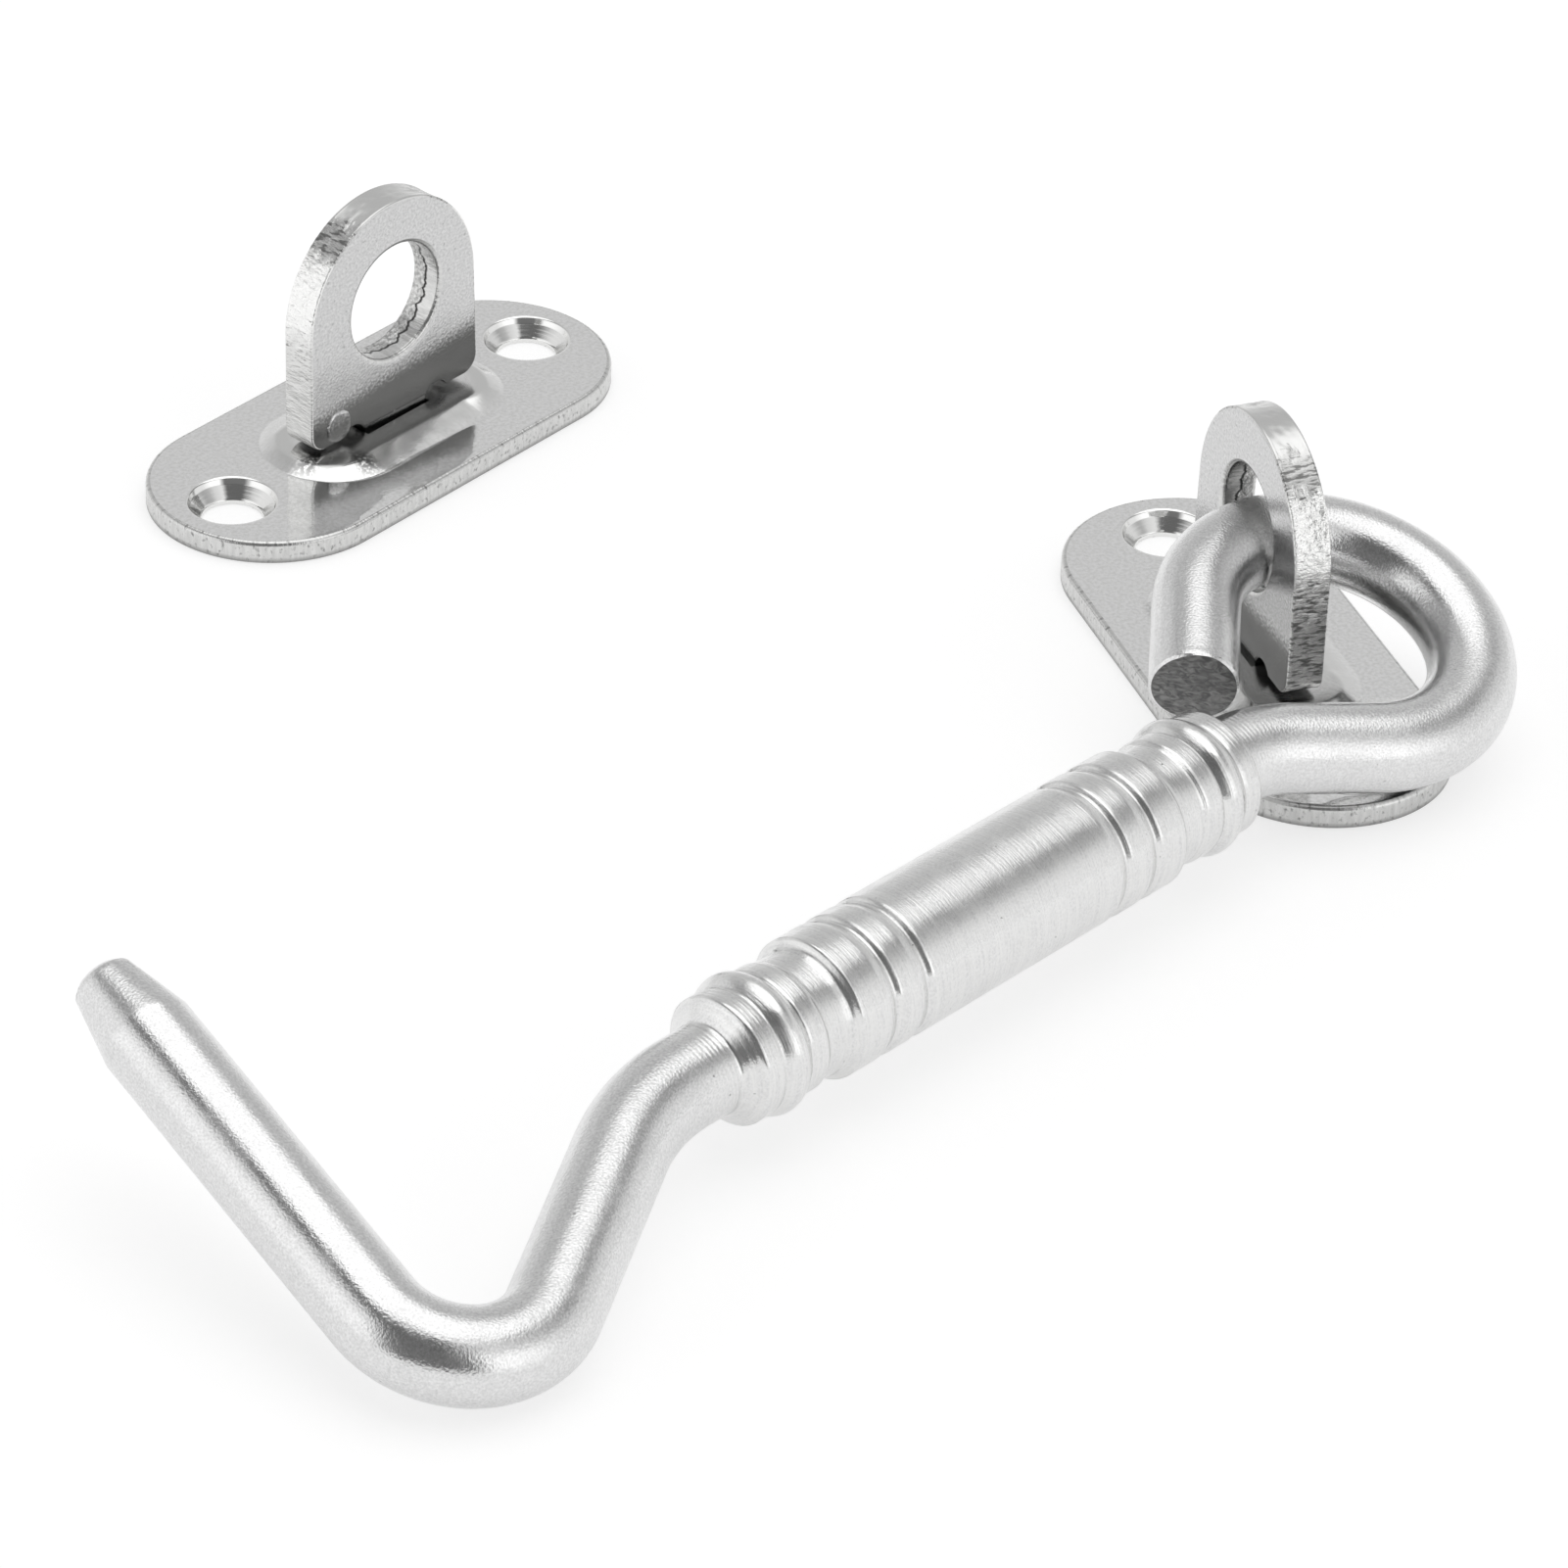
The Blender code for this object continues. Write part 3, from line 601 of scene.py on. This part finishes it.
def turned_stainless():
    """Stainless round bar, type 304. Its thick middle is turned, and its thin ends are drawn and tumbled.

    The eye sees fine rings round the middle, a coarser feed line by both collars, short scratches round the
    bar, and a sandy satin on the bends. The marks lie on the bar laid straight, so they have no seam and
    follow the bends.
    """
    material, tree, shader, place = new_metal("turned_stainless", 0.2)
    unrolled = node(tree, "SeparateXYZ", {0: place})
    angle = node(tree, "Math", {0: unrolled.outputs[0], 1: rod}, operation="DIVIDE")
    across = node(tree, "Math", {0: angle}, operation="COSINE")
    up = node(tree, "Math", {0: angle}, operation="SINE")
    along = unrolled.outputs[1]
    straight = node(tree, "CombineXYZ", {0: across, 1: up, 2: along})
    reach = node(tree, "Math", {0: along}, operation="ABSOLUTE")
    cut = node(tree, "MapRange", {0: reach, 1: 31.5, 2: 37.0, 3: 1.0, 4: 0.0})
    # Tool marks: rings a sixth of a millimetre apart that change slowly round the bar
    marks = pattern(tree, straight, (1.5, 1.5, 6.0), 4.0)
    cut_marks = product(tree, marks, cut)
    dent(tree, shader, cut_marks, 0.018)
    # Feed lines: even rings by the collars
    waves = product(tree, along, 2.0 * math.pi / feed_pitch)
    feed = node(tree, "Math", {0: waves}, operation="SINE")
    near = node(tree, "MapRange", {0: reach, 1: 28.4, 2: 29.2})
    far = node(tree, "MapRange", {0: reach, 1: 33.0, 2: 37.0, 3: 1.0, 4: 0.0})
    both = product(tree, near, far)
    feed = product(tree, feed, both)
    dent(tree, shader, feed, 0.004)
    # Fine short scratches run round the bar from end to end
    scratches = pattern(tree, straight, (9.0, 9.0, 7.0), 2.0)
    dent(tree, shader, scratches, 0.009)
    # Satin: a sandy grain
    object_place = node(tree, "TexCoord").outputs["Object"]
    grain = pattern(tree, object_place, 4.6 / MM, 2.0)
    uncut = node(tree, "Math", {0: cut, 1: -0.7, 2: 1.0}, operation="MULTIPLY_ADD")
    dent(tree, shader, product(tree, grain, uncut), 0.026)
    patches = pattern(tree, object_place, 0.35 / MM, 3.0)
    worn = node(tree, "MapRange", {0: patches, 1: 0.4, 2: 0.65, 3: 0.16, 4: 0.27})
    tree.links.new(worn.outputs[0], shader.inputs["Roughness"])
    # Dark pin pricks here and there
    pricks = pattern(tree, object_place, 2.1 / MM, 1.0)
    pricks = node(tree, "MapRange", {0: pricks, 1: 0.78, 2: 0.84})
    streaks = node(tree, "MapRange", {0: marks, 1: 0.3, 2: 0.7})
    streaks = product(tree, streaks, cut)
    sand = node(tree, "MapRange", {0: grain, 1: 0.3, 2: 0.7})
    colour = blend(tree, sand, linear("CECECE"), linear("E4E4E4"))
    colour = blend(tree, streaks, colour, linear("E4E4E3"))
    colour = blend(tree, pricks, colour, linear("8E8E8D"))
    tree.links.new(colour, shader.inputs["Base Color"])
    # Turned rings spread a reflection along the bar
    spread = product(tree, cut, 0.55)
    tree.links.new(spread.outputs[0], shader.inputs["Anisotropic"])
    tangent = node(tree, "Tangent", direction_type="UV_MAP", uv_map="mm")
    tree.links.new(tangent.outputs[0], shader.inputs["Tangent"])
    shader.inputs["Anisotropic Rotation"].default_value = 0.25
    return material


def cut_end():
    """The bar's end as the shears left it. The eye sees dark, matt, torn metal in a smeared mottle."""
    material, tree, shader, place = new_metal("cut_end", 0.42)
    torn = pattern(tree, place, (0.9, 1.6, 1.0), 5.0, 1.5)
    share = node(tree, "MapRange", {0: torn, 1: 0.38, 2: 0.66})
    tree.links.new(blend(tree, share, linear("606060"), linear("8C8C8B")), shader.inputs["Base Color"])
    dent(tree, shader, torn, 0.08)
    return material


def faced_tip():
    """The flat tip, faced on the lathe. The eye sees fine rings round its middle."""
    material, tree, shader, place = new_metal("faced_tip", 0.22)
    radius = node(tree, "VectorMath", {0: place}, operation="LENGTH").outputs["Value"]
    steps = product(tree, radius, 2.0 * math.pi / facing_pitch)
    rings = node(tree, "Math", {0: steps}, operation="SINE")
    dent(tree, shader, rings, 0.004)
    share = node(tree, "MapRange", {0: rings, 1: -1.0, 2: 1.0})
    tree.links.new(blend(tree, share, linear("CACACA"), linear("DCDCDB")), shader.inputs["Base Color"])
    return material


def polished_stainless():
    """Stainless sheet, polished bright after it was pressed, with screw sinks cut by a turning tool.

    The eye sees blurred mirror images with slow waves, sparse pits, mottled metal round the boss, and rings
    in the sinks.
    """
    material, tree, shader, place = new_metal("polished_stainless", 0.12)
    folded = node(tree, "VectorMath", {0: place}, operation="ABSOLUTE")
    off_screw = node(tree, "VectorMath", {0: folded, 1: (screw_place, 0.0, 0.0)}, operation="SUBTRACT")
    distance = node(tree, "VectorMath", {0: off_screw}, operation="LENGTH").outputs["Value"]
    sunk = node(tree, "MapRange", {0: distance, 1: sink_radius - 0.1, 2: sink_radius + 0.05, 3: 1.0, 4: 0.0})
    marks = node(tree, "TexNoise", {"W": distance, "Scale": 3.2, "Detail": 2.0}, noise_dimensions="1D")
    marks = product(tree, marks, sunk)
    dent(tree, shader, marks, 0.014)
    waves = pattern(tree, place, 0.3, 1.0)
    dent(tree, shader, waves, 0.04)
    pits = pattern(tree, place, 2.6, 2.0)
    dent(tree, shader, pits, 0.0035)
    # In a band round the boss the metal is a little rougher, holds the dark spots below, and is painted
    # darker as painted shade on the boss's slope
    along = node(tree, "SeparateXYZ", {0: folded})
    past = node(tree, "Math", {0: along.outputs[0], 1: boss_reach}, operation="SUBTRACT")
    past = node(tree, "Math", {0: past, 1: 0.0}, operation="MAXIMUM")
    off_boss = node(tree, "CombineXYZ", {0: past, 1: along.outputs[1]})
    off_boss = node(tree, "VectorMath", {0: off_boss}, operation="LENGTH").outputs["Value"]
    outer = node(tree, "MapRange", {0: off_boss, 1: 5.5, 2: 7.6, 3: 1.0, 4: 0.0})
    inner = node(tree, "MapRange", {0: off_boss, 1: 3.0, 2: 4.5})
    band = product(tree, outer, inner)
    # Two dark sandy spots flank one corner of the boss
    sides = node(tree, "SeparateXYZ", {0: place})
    over = product(tree, sides.outputs[1], -1.0)
    round_end = node(tree, "Math", {0: over, 1: past}, operation="ARCTAN2")
    off_corner = node(tree, "Math", {0: round_end, 1: math.pi / 4.0}, operation="SUBTRACT")
    off_corner = node(tree, "Math", {0: off_corner}, operation="ABSOLUTE")
    flank = node(tree, "MapRange", {0: off_corner, 1: 0.28, 2: 0.42})
    flank_end = node(tree, "MapRange", {0: off_corner, 1: 0.6, 2: 0.78, 3: 1.0, 4: 0.0})
    blots = pattern(tree, place, 2.6, 4.0)
    blots = node(tree, "MapRange", {0: blots, 1: 0.36, 2: 0.52})
    one_end = node(tree, "MapRange", {0: sides.outputs[0], 1: -0.5, 2: 0.5, 3: 1.0, 4: 0.0})
    for share in (band, flank, flank_end, one_end):
        blots = product(tree, blots, share)
    speckle = node(tree, "MapRange", {0: pits, 1: 0.38, 2: 0.66})
    colour = blend(tree, speckle, linear("F6F6F6"), linear("E8E8E7"))
    # Painted shade: the band round the boss is darker
    colour = blend(tree, band, colour, linear("DCDCDB"))
    colour = blend(tree, sunk, colour, linear("E6E6E5"))
    colour = blend(tree, blots, colour, linear("707070"))
    tree.links.new(colour, shader.inputs["Base Color"])
    rough = node(tree, "MapRange", {0: waves, 1: 0.35, 2: 0.65, 3: 0.07, 4: 0.13})
    rough = node(tree, "Math", {0: band, 1: 0.05, 2: rough}, operation="MULTIPLY_ADD")
    crest = node(tree, "MapRange", {0: off_boss, 1: 3.6, 2: 4.2, 3: 1.0, 4: 0.0})
    rough = node(tree, "Math", {0: crest, 1: 0.14, 2: rough}, operation="MULTIPLY_ADD")
    tree.links.new(rough.outputs[0], shader.inputs["Roughness"])
    return material


def sheared_wall():
    """The plate's wall as cut, then tumbled. The eye sees upright scores, dark nicks and a dark foot."""
    material, tree, shader, place = new_metal("sheared_wall", 0.26)
    scores = pattern(tree, place, (3.0, 0.5, 1.0), 3.0)
    dent(tree, shader, scores, 0.05)
    nicks = pattern(tree, place, (2.4, 1.6, 1.0), 5.0)
    nicks = node(tree, "MapRange", {0: nicks, 1: 0.56, 2: 0.7})
    height = node(tree, "SeparateXYZ", {0: place})
    foot_shade = node(tree, "MapRange", {0: height.outputs[1], 1: 0.15, 2: 0.6, 3: 0.7, 4: 0.0})
    colour = blend(tree, scores, linear("B8B8B7"), linear("E4E4E3"))
    colour = blend(tree, nicks, colour, linear("8E8E8D"))
    colour = blend(tree, foot_shade, colour, linear("7C7C7B"))
    tree.links.new(colour, shader.inputs["Base Color"])
    return material


def blanked_face():
    """Stainless strip as rolled, then tumbled. The eye sees an even satin with pits, and painted shade by the
    foot.
    """
    material, tree, shader, place = new_metal("blanked_face", 0.22)
    grain = pattern(tree, place, 3.6, 2.0)
    dent(tree, shader, grain, 0.025)
    waves = pattern(tree, place, 0.25, 1.0)
    dent(tree, shader, waves, 0.08)
    pits = pattern(tree, place, 1.7, 2.0)
    pits = node(tree, "MapRange", {0: pits, 1: 0.66, 2: 0.74, 3: 0.0, 4: 0.6})
    # Painted shade: the face is darkened by the foot, up to a ragged, slanting line
    parts = node(tree, "SeparateXYZ", {0: place})
    slant = node(tree, "Math", {0: parts.outputs[0], 1: -0.08, 2: parts.outputs[1]}, operation="MULTIPLY_ADD")
    ragged = node(tree, "Math", {0: grain, 1: 2.8, 2: slant}, operation="MULTIPLY_ADD")
    painted_shade = node(tree, "MapRange", {0: ragged, 1: -4.7, 2: -6.8}, interpolation_type="SMOOTHSTEP")
    sand = node(tree, "MapRange", {0: grain, 1: 0.3, 2: 0.7})
    colour = blend(tree, sand, linear("BCBCBC"), linear("D6D6D6"))
    colour = blend(tree, pits, colour, linear("8E8E8D"))
    colour = blend(tree, painted_shade, colour, linear("767675"))
    tree.links.new(colour, shader.inputs["Base Color"])
    return material


def broken_edge():
    """The eye's edge as the punch broke it. The eye sees it change on the way down from the crown: smooth
    and grey, then torn and dark, then galled and glittering, then scored across with dark specks.
    """
    material, tree, shader, place = new_metal("broken_edge", 0.24)
    parts = node(tree, "SeparateXYZ", {0: place})
    down = node(tree, "Math", {0: parts.outputs[0]}, operation="ABSOLUTE")
    wander = pattern(tree, place, (0.5, 0.9, 1.0), 3.0)
    foot_start = crown * math.pi / 2.0 - foot_level - foot_corner
    above_foot = node(tree, "MapRange", {0: down, 1: foot_start + 1.8, 2: foot_start + 2.8, 3: 1.0, 4: 0.0})
    down = node(tree, "Math", {0: wander, 1: 5.0, 2: down}, operation="MULTIPLY_ADD")
    scores = pattern(tree, place, (3.0, 0.8, 1.0), 5.0)
    galls = pattern(tree, place, (1.6, 1.3, 1.0), 5.0)
    torn = node(tree, "MapRange", {0: down, 1: 6.5, 2: 8.0})
    torn = product(tree, torn, above_foot)
    galled = node(tree, "MapRange", {0: down, 1: 10.5, 2: 12.0})
    scored = node(tree, "MapRange", {0: down, 1: 18.0, 2: 21.0})
    # The scored part is dull and nicked all the way down on the right side only, and lighter on the left
    right_side = node(tree, "MapRange", {0: parts.outputs[0], 1: -0.5, 2: 0.5})
    dull = product(tree, scored, right_side)
    keen = node(tree, "Math", {0: scored, 1: dull}, operation="SUBTRACT")
    depth = product(tree, scores, torn)
    dent(tree, shader, depth, 0.12)
    lumps = node(tree, "Math", {0: 1.0, 1: scored}, operation="SUBTRACT")
    lumps = product(tree, lumps, galled)
    dent(tree, shader, product(tree, lumps, galls), 0.25)
    # Nicks are dark and many where it is torn, few where it is galled
    torn_only = node(tree, "Math", {0: torn, 1: lumps}, operation="SUBTRACT")
    torn_only = node(tree, "Math", {0: torn_only, 1: keen}, operation="SUBTRACT")
    cut_off = node(tree, "MapRange", {0: torn_only, 3: 0.34, 4: 0.5})
    nicks = node(tree, "Math", {0: cut_off, 1: scores}, operation="SUBTRACT")
    nicks = node(tree, "MapRange", {0: nicks, 1: 0.0, 2: 0.08})
    nicks = product(tree, nicks, torn)
    colour = blend(tree, torn, linear("D4D4D3"), linear("BEBEBD"))
    colour = blend(tree, galled, colour, linear("F0F0EF"))
    colour = blend(tree, dull, colour, linear("C6C6C5"))
    colour = blend(tree, keen, colour, linear("DADAD9"))
    colour = blend(tree, nicks, colour, linear("7A7A79"))
    # Past the foot's corner, along the foot and round the relief notches, the edge is painted dark as painted
    # shade
    colour = blend(tree, above_foot, linear("626261"), colour)
    tree.links.new(colour, shader.inputs["Base Color"])
    return material


def punched_wall():
    """The hole's wall. The eye sees bright scored metal and a dark, jagged line where the slug tore off."""
    material, tree, shader, place = new_metal("punched_wall", 0.24)
    scores = pattern(tree, place, (2.2, 0.5, 1.0), 3.0)
    dent(tree, shader, scores, 0.08)
    jag = pattern(tree, place, (0.7, 0.0, 1.0), 5.0)
    depth = node(tree, "SeparateXYZ", {0: place})
    line = node(tree, "MapRange", {0: jag, 1: 0.3, 2: 0.7, 3: -0.4, 4: 0.5})
    past = node(tree, "Math", {0: depth.outputs[1], 1: line}, operation="SUBTRACT")
    away = node(tree, "Math", {0: past}, operation="ABSOLUTE")
    crack = node(tree, "MapRange", {0: away, 1: 0.06, 2: 0.2, 3: 1.0, 4: 0.0})
    # Behind the line the slug tore off, so the metal there is rough
    torn = node(tree, "MapRange", {0: past, 1: 0.0, 2: 0.15})
    rough = pattern(tree, place, 2.4, 4.0)
    dent(tree, shader, product(tree, rough, torn), 0.11)
    dark = node(tree, "MapRange", {0: rough, 1: 0.42, 2: 0.6})
    dark = product(tree, dark, torn)
    colour = blend(tree, scores, linear("B4B4B3"), linear("E8E8E7"))
    colour = blend(tree, dark, colour, linear("A2A2A1"))
    colour = blend(tree, crack, colour, linear("4A4A49"))
    # The top of the hole is painted dark, as painted shade
    turned = node(tree, "Math", {0: depth.outputs[0], 1: hole}, operation="DIVIDE")
    height = node(tree, "Math", {0: turned}, operation="SINE")
    painted_shade = node(tree, "MapRange", {0: height, 1: 0.3, 2: 0.95, 3: 0.0, 4: 0.85})
    colour = blend(tree, painted_shade, colour, linear("6E6E6D"))
    tree.links.new(colour, shader.inputs["Base Color"])
    return material


# Camera, floor and light

scene = bpy.context.scene
camera = bpy.data.objects.new("camera", bpy.data.cameras.new("camera"))
bpy.context.collection.objects.link(camera)
scene.camera = camera
frame_px, sensor_width = 1601.0, 36.0
focal_px, distance, elevation, azimuth, tilt = 6743.05, 581.759, 33.298, -0.029, 2.256
target = Vector((-47.494, -8.324, 0.0))
rise, swing, lean = math.radians(elevation), math.radians(azimuth), math.radians(tilt)
forward = Vector((math.sin(swing) * math.cos(rise), math.cos(swing) * math.cos(rise), -math.sin(rise)))
level = Vector((math.cos(swing), -math.sin(swing), 0.0))
upright = level.cross(forward)
right = level * math.cos(lean) + upright * math.sin(lean)
up = upright * math.cos(lean) - level * math.sin(lean)
matrix = Matrix((right, up, -forward)).transposed().to_4x4()
matrix.translation = (target - distance * forward) * MM
camera.matrix_world = matrix
camera.data.sensor_width = sensor_width
camera.data.lens = focal_px * sensor_width / frame_px
camera.data.clip_start, camera.data.clip_end = 0.01, 10.0
scene.view_settings.view_transform = "Standard"


def studio():
    """A round soft box overhead, a dim gap round it, and cloth all round: grey behind the object, bright
    at both sides and dark by the camera.

    The angle to the box's middle sets the box and the gap. The compass angle sets the cloth and how dim
    the gap gets: it runs from 0 by the camera, by the left and 0.5 behind the object, to 1 by the camera.
    """
    world = bpy.data.worlds.new("studio")
    scene.world = world
    world.use_nodes = True
    tree = world.node_tree
    tree.nodes.clear()
    direction = node(tree, "TexCoord").outputs["Generated"]
    parts = node(tree, "SeparateXYZ", {0: direction})
    compass = node(tree, "Math", {0: parts.outputs[0], 1: parts.outputs[1]}, operation="ARCTAN2")
    compass = node(tree, "MapRange", {0: compass, 1: -math.pi, 2: math.pi})
    box_middle = (0.067, 0.132, 0.989)
    to_box = node(tree, "VectorMath", {0: direction, 1: box_middle}, operation="DOT_PRODUCT").outputs["Value"]
    cloth = node(tree, "ValToRGB", {0: compass})
    shade = node(tree, "ValToRGB", {0: compass})
    gap = node(tree, "ValToRGB", {0: to_box})
    for ramp, stops in (
        (cloth, ((0.08, 0.2), (0.13, 1.25), (0.2, 1.25), (0.3, 1.0), (0.4, 0.78), (0.5, 0.76), (0.62, 0.78),
                 (0.67, 0.92), (0.76, 0.95), (0.8, 1.2), (0.84, 1.45), (0.89, 1.45), (0.93, 0.2))),
        (shade, ((0.08, 0.15), (0.2, 0.16), (0.3, 0.4), (0.4, 0.61), (0.6, 0.64), (0.68, 0.38), (0.76, 0.55),
                 (0.8, 0.8), (0.88, 0.95), (0.93, 0.15))),
        (gap, ((0.3, 1.0), (0.5, 0.88), (0.63, 0.6), (0.74, 0.13))),
    ):
        while len(ramp.color_ramp.elements) < len(stops):
            ramp.color_ramp.elements.new(1.0)
        for element, (position, strength) in zip(ramp.color_ramp.elements, stops):
            element.position, element.color = position, (strength, strength, strength, 1.0)
    dimmed = blend(tree, 1.0, cloth, gap, "MULTIPLY")
    walls = blend(tree, 1.0, dimmed, shade, "LIGHTEN")
    # The box fades over its rim
    box = node(tree, "MapRange", {0: to_box, 1: 0.835, 2: 0.885})
    light = blend(tree, box, walls, (1.5, 1.5, 1.5, 1.0))
    back = node(tree, "Background", {"Color": light, "Strength": 1.0})
    node(tree, "OutputWorld", {"Surface": back})


def paper():
    """White paper that the camera and the metal see as white, and that keeps the object's shadow."""
    material = bpy.data.materials.new("paper")
    material.use_nodes = True
    tree = material.node_tree
    tree.nodes.clear()
    rays = node(tree, "LightPath")
    matt = node(tree, "BsdfDiffuse", {"Color": (0.43, 0.43, 0.43, 1.0)})
    seen = node(tree, "AddShader", {0: node(tree, "Emission", {"Strength": 0.66}), 1: matt})
    # The metal sees more of the shadow than the camera does
    pale = node(tree, "BsdfDiffuse", {"Color": (0.66, 0.66, 0.66, 1.0)})
    mirrored = node(tree, "AddShader", {0: node(tree, "Emission", {"Strength": 0.5}), 1: pale})
    shown = rays.outputs["Is Camera Ray"]
    shown = node(tree, "Math", {0: shown, 1: rays.outputs["Is Transmission Ray"]}, operation="MAXIMUM")
    paper_light = node(tree, "MixShader", {0: shown, 1: matt, 2: seen})
    paper_light = node(tree, "MixShader", {0: rays.outputs["Is Glossy Ray"], 1: paper_light, 2: mirrored})
    node(tree, "OutputMaterial", {"Surface": paper_light})
    return material


studio()
# The floor lies a hair below the ground, so that it and the undersides of the plates don't share a plane
floor_reach, floor_level = 3.0, -0.05 * MM
corners = [(x * floor_reach, y * floor_reach, floor_level) for x, y in ((-1, -1), (1, -1), (1, 1), (-1, 1))]
floor_mesh = bpy.data.meshes.new("floor")
floor_mesh.from_pydata(corners, [], [(0, 1, 2, 3)])
floor_mesh.materials.append(paper())
floor = bpy.data.objects.new("floor", floor_mesh)
bpy.context.collection.objects.link(floor)


# Pieces

plate_steels = [polished_stainless(), sheared_wall()]
eye_steels = [blanked_face(), broken_edge(), punched_wall()]
for side, (centre, angle, *eye_place) in plate_places.items():
    plate = plate_skin(centre, angle).piece(side + "_plate_skin", side + "_plate", "base", plate_steels)
    eye = eye_skin(centre, angle, *eye_place).piece(side + "_eye_skin", side + "_eye", "base", eye_steels)
hook = hook_skin().piece("hook_skin", "hook", "hook", [turned_stainless(), faced_tip(), cut_end()])
